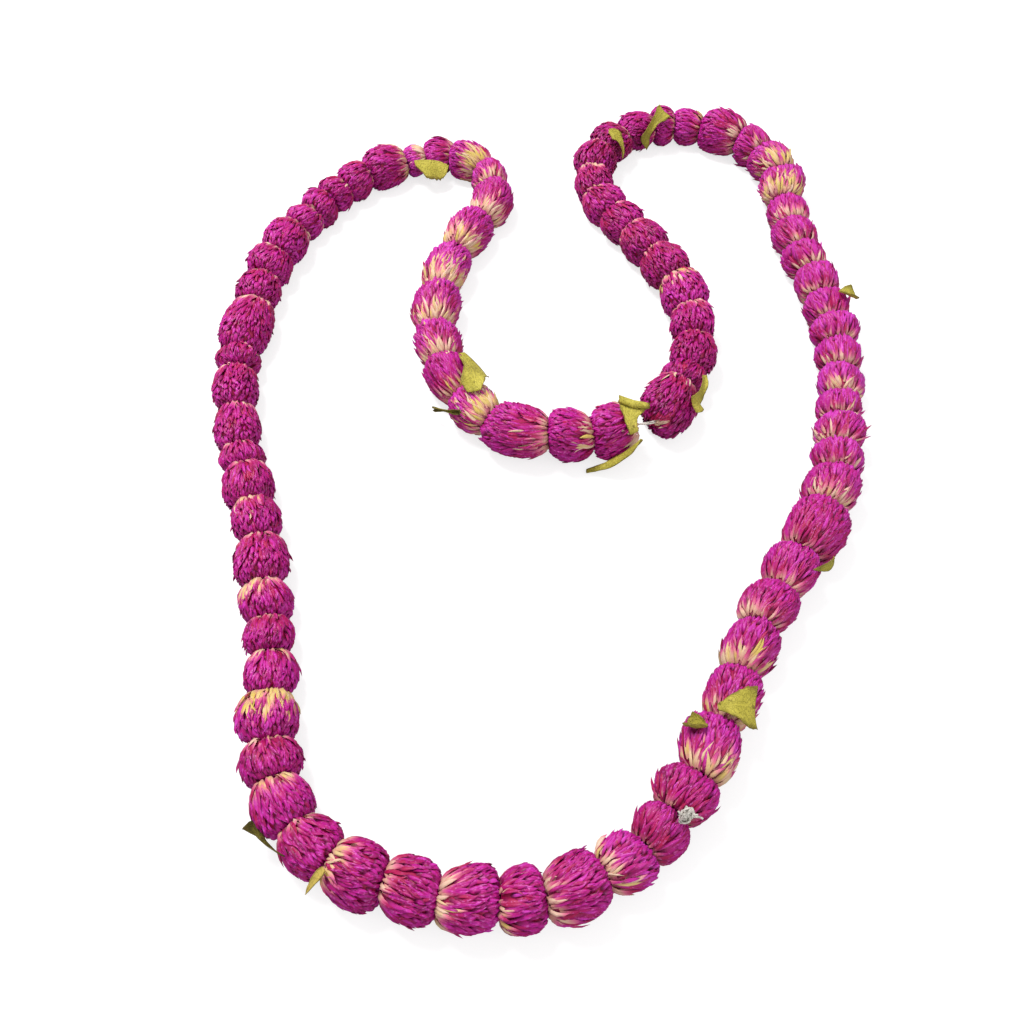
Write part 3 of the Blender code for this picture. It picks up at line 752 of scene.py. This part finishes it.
def knot_lines(loop, draw):
    """The crumpled loops of the knot, and the ends of the thread that stick out of it."""
    joint = loop.joints[KNOT_AFTER_HEAD]
    centre = np.array((*KNOT_MM, 0)) * MM + (0, 0, joint)
    lines = []
    for _ in range(KNOT_LOOPS):
        turns = draw.normal(0, 1, (KNOT_TURNS, 3))
        turns /= np.linalg.norm(turns, axis=1)[:, None]
        lines.append(loop.bend(centre + closed_curve(turns, KNOT_SAMPLES) * np.array(KNOT_REACH_MM) * MM))
    for (inward, up), ahead in TAILS_MM:
        end = np.array((inward, up, ahead)) * MM + (0, 0, joint)
        share = np.linspace(0, TAIL_REACH, TAIL_STEPS)[:, None]
        wander = np.sin(share * TAIL_WAVES + draw.uniform(0, 6, 3)) * TAIL_WANDER_MM * MM * share
        lines.append(loop.bend(centre + (end - centre) * share + wander))
    stem = np.linspace(0, 1, STEM_STEPS)[:, None]
    lines.append(loop.bend((0, 0, joint) + centre * (1, 1, 0) * stem))
    return lines


def put(tree, kind, settings=None, inputs=None):
    """A node with its settings, and its inputs set to values or joined to other nodes' outputs."""
    node = tree.nodes.new(kind)
    for name, value in (settings or {}).items():
        setattr(node, name, value)
    for name, value in (inputs or {}).items():
        if isinstance(value, bpy.types.NodeSocket):
            tree.links.new(value, node.inputs[name])
        else:
            node.inputs[name].default_value = value
    return node


def number(tree, operation, a, b=0.0, clamp=False):
    """The result of one step of arithmetic."""
    settings = {"operation": operation, "use_clamp": clamp}
    return put(tree, "ShaderNodeMath", settings, {0: a, 1: b}).outputs[0]


def vary(tree, value, change, size, clamp=False):
    """The value, raised and lowered by up to half of size as a pattern between 0 and 1 changes."""
    shift = number(tree, "MULTIPLY", number(tree, "SUBTRACT", change, 0.5), size)
    return number(tree, "ADD", value, shift, clamp)


def between(tree, value, low, high, to_low=0.0, to_high=1.0):
    """The value's place between low and high, eased, as a number between two others."""
    inputs = {"Value": value, "From Min": low, "From Max": high, "To Min": to_low, "To Max": to_high}
    return put(tree, "ShaderNodeMapRange", {"interpolation_type": "SMOOTHSTEP"}, inputs).outputs[0]


def blend(tree, share, a, b):
    """The first colour, with a share of the second laid over it."""
    return put(tree, "ShaderNodeMix", {"data_type": "RGBA"}, {0: share, 6: a, 7: b}).outputs[2]


def colour_ramp(tree, share, stops):
    """The colour at a share of the way through the stops, each a place and a colour."""
    node = put(tree, "ShaderNodeValToRGB", inputs={"Fac": share})
    elements = node.color_ramp.elements
    while len(elements) < len(stops):
        elements.new(0.5)
    for element, (position, colour) in zip(elements, stops):
        element.position = position
        element.color = (*colour, 1)
    return node.outputs["Color"]


def marks(tree, name):
    """The three numbers of a point attribute."""
    mark = put(tree, "ShaderNodeAttribute", {"attribute_name": name})
    return put(tree, "ShaderNodeSeparateXYZ", inputs={0: mark.outputs["Vector"]}).outputs


def noise(tree, vector, scale, detail=3.0, roughness=0.55):
    """A soft random pattern between 0 and 1."""
    inputs = {"Vector": vector, "Scale": scale, "Detail": detail, "Roughness": roughness}
    return put(tree, "ShaderNodeTexNoise", inputs=inputs).outputs["Fac"]


def dry_fibres():
    """Group: long streaks along a dried blade and blotches over it, from its own map and its place."""
    if "Dry fibres" in bpy.data.node_groups:
        return bpy.data.node_groups["Dry fibres"]
    group = bpy.data.node_groups.new("Dry fibres", "ShaderNodeTree")
    for name in ("Across", "Along", "Blotch scale"):
        group.interface.new_socket(name, in_out="INPUT", socket_type="NodeSocketFloat")
    for name in ("Streaks", "Blotches"):
        group.interface.new_socket(name, in_out="OUTPUT", socket_type="NodeSocketFloat")
    given = group.nodes.new("NodeGroupInput").outputs
    uv = put(group, "ShaderNodeUVMap", {"uv_map": "OFBake"}).outputs["UV"]
    place = group.nodes.new("ShaderNodeTexCoord").outputs["Object"]
    scale = put(group, "ShaderNodeCombineXYZ", inputs={0: given["Across"], 1: given["Along"]}).outputs[0]
    stretched = put(group, "ShaderNodeVectorMath", {"operation": "MULTIPLY"}, {0: uv, 1: scale}).outputs[0]
    streaks = noise(group, stretched, 1.0, 2.0)
    blotches = noise(group, place, given["Blotch scale"])
    put(group, "NodeGroupOutput", inputs={"Streaks": streaks, "Blotches": blotches})
    return group


def fibres(tree, streaks):
    """The streaks and blotches of a dried blade, with so many streaks across and along it."""
    values = {"Across": streaks[0], "Along": streaks[1], "Blotch scale": BLOTCHES}
    return put(tree, "ShaderNodeGroup", {"node_tree": dry_fibres()}, values).outputs


def blank_material(name):
    """A new material, its node tree and its shader."""
    material = bpy.data.materials.new(name)
    material.use_nodes = True
    return material, material.node_tree, material.node_tree.nodes["Principled BSDF"]


def add_bump(tree, shader, height, strength, distance):
    """Fine relief on the shader, from a height between 0 and 1."""
    inputs = {"Height": height, "Strength": strength, "Distance": distance}
    bump = put(tree, "ShaderNodeBump", inputs=inputs)
    tree.links.new(bump.outputs[0], shader.inputs["Normal"])


def bract_material(colours):
    """Papery bracts: magenta, with painted highlights on the ridges and painted wine shade in the gaps, and
    cream to straw at the base of each head.
    """
    material, tree, shader = blank_material("Globe amaranth bracts")
    reach, keel, tone = marks(tree, "blade")
    pale, yellow, red = marks(tree, "stain")
    streaks, blotches = fibres(tree, BRACT_STREAKS)
    place = tree.nodes.new("ShaderNodeTexCoord").outputs["Object"]
    sparkle = noise(tree, place, SPARKLE, 1.0)
    wine, magenta, orchid = map(tuple, (colours.wine, colours.magenta, colours.orchid))
    tint = vary(tree, vary(tree, tone, blotches, 0.9), streaks, 0.5)
    # Painted highlight and shade: each bract lighter along its keel and darker towards its edges
    tint = vary(tree, tint, keel, 0.35, True)
    colour = colour_ramp(tree, tint, ((0.0, wine), (0.45, magenta), (1.0, orchid)))
    reddened = between(tree, vary(tree, red, blotches, 0.5), 0.1, 0.95)
    colour = blend(tree, reddened, colour, (*colours.crimson, 1))
    # Painted highlights: pale flecks along the keels, scattered by fine noise
    painted_glint = number(tree, "MULTIPLY", between(tree, keel, 0.45, 1.0), between(tree, sparkle, 0.52, 0.70))
    colour = blend(tree, number(tree, "MULTIPLY", painted_glint, 0.5), colour, (*colours.painted_glint, 1))
    cream = blend(tree, between(tree, yellow, 0.15, 0.95), (*colours.cream, 1), (*colours.straw, 1))
    paled = vary(tree, pale, streaks, 0.5)
    colour = blend(tree, between(tree, paled, 0.05, 0.55, 0.0, 0.85), colour, (*colours.rose, 1))
    colour = blend(tree, between(tree, paled, 0.40, 0.95), colour, cream)
    # Painted shade: each bract darkens towards its root, hidden between the bracts, to a deeper wine on
    # magenta heads and to a dull pinkish brown under a pale base
    gap = tuple(0.8 * channel for channel in wine)
    deep = blend(tree, between(tree, pale, 0.2, 0.8), (*gap, 1), (*colours.pale_root_shade, 1))
    colour = blend(tree, between(tree, reach, 0.02, 0.45), deep, colour)
    tree.links.new(colour, shader.inputs["Base Color"])
    tree.links.new(between(tree, blotches, 0.2, 0.8, 0.32, 0.55), shader.inputs["Roughness"])
    add_bump(tree, shader, vary(tree, streaks, sparkle, 0.6), 0.5, 0.2 * MM)
    shader.inputs["Specular IOR Level"].default_value = 0.3
    return material


def leaf_material(colours):
    """Dried leaf, from dark green to straw, with netted veins, brown spots and dark edges."""
    material, tree, shader = blank_material("Dried amaranth leaf")
    reach, keel, _ = marks(tree, "blade")
    tone = marks(tree, "stain")[2]
    streaks, blotches = fibres(tree, LEAF_STREAKS)
    place = tree.nodes.new("ShaderNodeTexCoord").outputs["Object"]
    olive, straw = tuple(colours.olive), tuple(colours.straw)
    green = tuple(0.12 * channel for channel in olive)
    light = tuple(1.25 * channel + 0.02 for channel in olive)
    inputs = {"Vector": place, "Scale": LEAF_CELLS}
    cells = put(tree, "ShaderNodeTexVoronoi", {"feature": "DISTANCE_TO_EDGE"}, inputs)
    net = between(tree, cells.outputs[0], 0.10, 0.02)
    aside = number(tree, "MULTIPLY", number(tree, "SUBTRACT", 1.0, keel), RIB_SLANT)
    slant = number(tree, "ADD", reach, aside)
    ribs = between(tree, number(tree, "SINE", number(tree, "MULTIPLY", slant, LEAF_RIBS)), 0.82, 1.0)
    veins = number(tree, "MAXIMUM", number(tree, "MAXIMUM", ribs, between(tree, keel, 0.88, 0.98)), net)
    cloudy = noise(tree, place, LEAF_CLOUDS, 2.0)
    tint = vary(tree, vary(tree, vary(tree, tone, cloudy, 1.0), blotches, 0.5), streaks, 0.3)
    tint = number(tree, "ADD", tint, number(tree, "MULTIPLY", veins, 0.07), True)
    colour = colour_ramp(tree, tint, ((0.0, green), (0.5, olive), (0.8, light), (1.0, straw)))
    edge = between(tree, vary(tree, keel, blotches, 0.5), 0.22, 0.02)
    colour = blend(tree, number(tree, "MULTIPLY", edge, 0.55), colour, (*colours.dry_edge, 1))
    spots = between(tree, noise(tree, place, LEAF_SPOTS), 0.62, 0.72)
    colour = blend(tree, number(tree, "MULTIPLY", spots, 0.7), colour, (*colours.brown_spot, 1))
    tree.links.new(colour, shader.inputs["Base Color"])
    tree.links.new(between(tree, blotches, 0.2, 0.8, 0.5, 0.75), shader.inputs["Roughness"])
    add_bump(tree, shader, vary(tree, vary(tree, blotches, cloudy, 1.0), veins, 0.5), 0.8, 0.6 * MM)
    shader.inputs["Specular IOR Level"].default_value = 0.25
    return material


def thread_material(colours):
    """Cotton thread: off-white, with fine fuzzy fibres, and grey clouds painted at random as the shade in
    its folds.
    """
    material, tree, shader = blank_material("White cotton thread")
    place = tree.nodes.new("ShaderNodeTexCoord").outputs["Object"]
    fuzz = noise(tree, place, THREAD_FUZZ, 4.0)
    cloudy = noise(tree, place, THREAD_CLOUDS)
    cotton = tuple(colours.cotton)
    # Painted shade: grey clouds laid at random over the thread, for the shade in its folds
    grey = tuple(0.35 * channel for channel in cotton)
    colour = colour_ramp(tree, vary(tree, cloudy, fuzz, 0.6), ((0.25, grey), (0.6, cotton)))
    tree.links.new(colour, shader.inputs["Base Color"])
    tree.links.new(between(tree, fuzz, 0.2, 0.8, 0.75, 0.95), shader.inputs["Roughness"])
    add_bump(tree, shader, fuzz, 0.8, 0.15 * MM)
    return material


def floor_material():
    """Pale floor that shows nearly white to the camera, with only a breath of shadow."""
    material, tree, shader = blank_material("Pale floor")
    seen = tree.nodes.new("ShaderNodeLightPath").outputs["Is Camera Ray"]
    shader.inputs["Base Color"].default_value = (FLOOR_GREY, FLOOR_GREY, FLOOR_GREY, 1)
    shader.inputs["Emission Color"].default_value = (1, 1, 1, 1)
    tree.links.new(number(tree, "MULTIPLY", seen, FLOOR_GLOW), shader.inputs["Emission Strength"])
    shader.inputs["Roughness"].default_value = 0.9
    shader.inputs["Specular IOR Level"].default_value = 0.0
    return material


class GARLAND_OT_flower_heads(bpy.types.Operator):
    """Covers the strung heads with papery bracts, one piece for every two heads."""

    bl_idname = "garland.add_flower_heads"
    bl_label = "Flower heads"

    def execute(self, context):
        loop = Loop()
        material = bract_material(context.scene.garland_colours)
        for first in range(0, len(HEADS_MM), HEADS_PER_PIECE):
            sheets = Sheets()
            for head in range(first, first + HEADS_PER_PIECE):
                draw = np.random.default_rng(SEED + head)
                skin = Skin(loop, head)
                shape = HeadShape(skin, draw)
                add_bracts(sheets, loop, skin, shape, head, context.scene.garland_sizes, draw)
                add_core(sheets, loop, skin, shape, head_look(head)[1])
            numbers = f"{first + 1:02}_{first + HEADS_PER_PIECE:02}"
            stands_for(sheets.finish(f"bracts_{numbers}", material), f"heads_{numbers}")
        return {"FINISHED"}


class GARLAND_OT_leaves(bpy.types.Operator):
    """Lays the dried leaves over the heads."""

    bl_idname = "garland.add_leaves"
    bl_label = "Dried leaves"

    def execute(self, context):
        loop = Loop()
        material = leaf_material(context.scene.garland_colours)
        for place, leaf in enumerate(LEAVES, 1):
            sheets = Sheets()
            add_leaf(sheets, loop, leaf, np.random.default_rng(SEED + place))
            piece = sheets.finish(f"dried_leaf_{place:02}", material)
            blade = piece.modifiers.new("Blade", "SOLIDIFY")
            blade.thickness = context.scene.garland_sizes.leaf_thickness
            blade.offset = 0
            stands_for(piece, f"leaf_{place:02}")
        return {"FINISHED"}


class GARLAND_OT_thread(bpy.types.Operator):
    """Strings the heads on their thread, with its crumpled knot."""

    bl_idname = "garland.add_thread"
    bl_label = "Thread and knot"

    def execute(self, context):
        loop = Loop()
        material = thread_material(context.scene.garland_colours)
        lines = thread_lines(loop)
        thread = twine("cotton_thread", lines, STRAND_RADIUS, [False] * len(lines), material)
        lines = knot_lines(loop, np.random.default_rng(SEED))
        closed = [place < KNOT_LOOPS for place in range(len(lines))]
        knot = twine("thread_knot", lines, KNOT_STRAND, closed, material)
        for piece in (thread, knot):
            stands_for(piece, "thread")
        return {"FINISHED"}


class GARLAND_OT_stage(bpy.types.Operator):
    """Sets up the pale floor, soft light and camera."""

    bl_idname = "garland.add_stage"
    bl_label = "Stage"

    def execute(self, context):
        mesh = bmesh.new()
        bmesh.ops.create_grid(mesh, x_segments=1, y_segments=1, size=FLOOR_REACH)
        data = bpy.data.meshes.new("floor")
        mesh.to_mesh(data)
        mesh.free()
        floor = add_object("floor", data, floor_material())
        scene = context.scene
        scene.view_settings.view_transform = "Standard"
        scene.world = bpy.data.worlds.new("Studio")
        scene.world.use_nodes = True
        tree = scene.world.node_tree
        sky = tree.nodes["Background"].inputs
        sky["Color"].default_value = (1, 1, 1, 1)
        seen = tree.nodes.new("ShaderNodeLightPath").outputs["Is Camera Ray"]
        tree.links.new(between(tree, seen, 0.0, 1.0, SKY_LIGHT, SKY_SEEN), sky["Strength"])
        for name, place, size, power in LIGHTS:
            lamp = bpy.data.lights.new(name, "AREA")
            lamp.size = size
            lamp.energy = power
            light = bpy.data.objects.new(name, lamp)
            light.location = place
            x, y, z = place
            light.rotation_euler = (math.atan2(math.hypot(x, y), z), 0, math.atan2(-y, -x) - math.pi / 2)
            scene.collection.objects.link(light)
        camera = bpy.data.objects.new("camera", bpy.data.cameras.new("camera"))
        camera.location = CAMERA_PLACE
        camera.rotation_euler = (CAMERA_TILT, 0, 0)
        camera.data.lens = LENS_MM
        camera.data.sensor_width = SENSOR_MM
        camera.data.clip_start = NEAREST_SEEN
        scene.collection.objects.link(camera)
        scene.camera = camera
        return {"FINISHED"}


class GARLAND_PT_pieces(bpy.types.Panel):
    """Lists the garland's sizes, colours and pieces."""

    bl_idname = "GARLAND_PT_pieces"
    bl_label = "Globe Amaranth Garland"
    bl_space_type = "VIEW_3D"
    bl_region_type = "UI"
    bl_category = "Garland"

    def draw(self, context):
        for group in (context.scene.garland_sizes, context.scene.garland_colours):
            box = self.layout.box()
            for name in group.__annotations__:
                box.prop(group, name)
        for operator in OPERATORS:
            self.layout.operator(operator.bl_idname)


OPERATORS = (GARLAND_OT_flower_heads, GARLAND_OT_leaves, GARLAND_OT_thread, GARLAND_OT_stage)
CLASSES = (GarlandSizes, GarlandColours, *OPERATORS, GARLAND_PT_pieces)


def register():
    for added in CLASSES:
        bpy.utils.register_class(added)
    bpy.types.Scene.garland_sizes = bpy.props.PointerProperty(type=GarlandSizes)
    bpy.types.Scene.garland_colours = bpy.props.PointerProperty(type=GarlandColours)


def unregister():
    del bpy.types.Scene.garland_sizes
    del bpy.types.Scene.garland_colours
    for added in reversed(CLASSES):
        bpy.utils.unregister_class(added)


def main():
    """Dresses the whole garland."""
    register()
    bpy.ops.garland.add_flower_heads()
    bpy.ops.garland.add_leaves()
    bpy.ops.garland.add_thread()
    bpy.ops.garland.add_stage()


if __name__ == "__main__":
    main()
